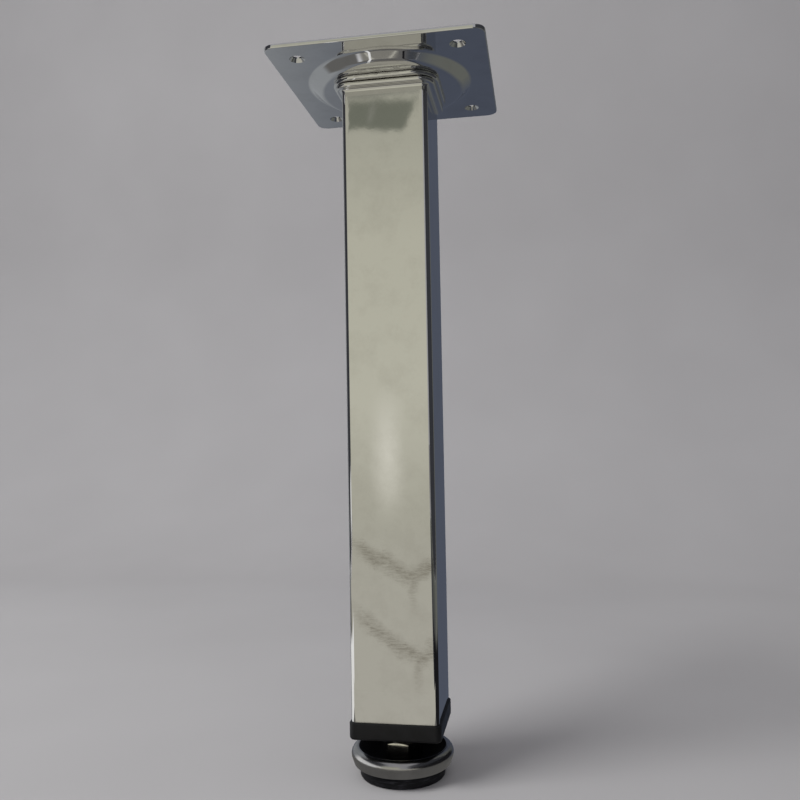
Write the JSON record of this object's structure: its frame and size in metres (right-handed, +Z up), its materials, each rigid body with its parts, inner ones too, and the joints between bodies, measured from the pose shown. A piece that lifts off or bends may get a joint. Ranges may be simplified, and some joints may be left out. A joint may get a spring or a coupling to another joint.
{
  "type": "height adjustable table leg",
  "caption": "Chromed square tube table leg with a stamped screw plate on top and a screw-in levelling foot that sets its height.",
  "frame": {"origin": "on the leg's axis, on the floor under the foot's pad", "axes": "+Z up the leg to the screw plate, -Y out of the front face, +X to the right of it"},
  "size_m": [0.097, 0.097, 0.3284],
  "materials": {
    "chrome_plating": "bright chrome plating",
    "black_plastic": "semi-matt moulded plastic",
    "zinc_steel": "bright zinc plating",
    "satin_steel": "satin nickel plating",
    "black_rubber": "moulded black rubber"
  },
  "bodies": {
    "leg": {"mounting_plate": "chrome_plating", "leg_tube": "chrome_plating", "end_plug": "black_plastic", "plug_nut": "zinc_steel"},
    "foot_base": {"foot_cup": "satin_steel", "foot_pad": "black_rubber"},
    "foot_screw": {"foot_bolt": "zinc_steel", "cup_nut": "zinc_steel"}
  },
  "joints": [
    {"name": "foot_height", "type": "slide", "parent": "leg", "child": "foot_base", "axis": [0, 0, 1], "range_m": [-0.03, 0.0045]},
    {"name": "screw_turn", "type": "hinge", "parent": "foot_base", "child": "foot_screw", "pos_m": [0, 0, 0], "axis": [0, 0, 1], "range_deg": [-7201, 1081]}
  ],
  "couplings": [
    {"joint": "screw_turn", "follows": "foot_height", "rad_per_m": 4188.8}
  ]
}
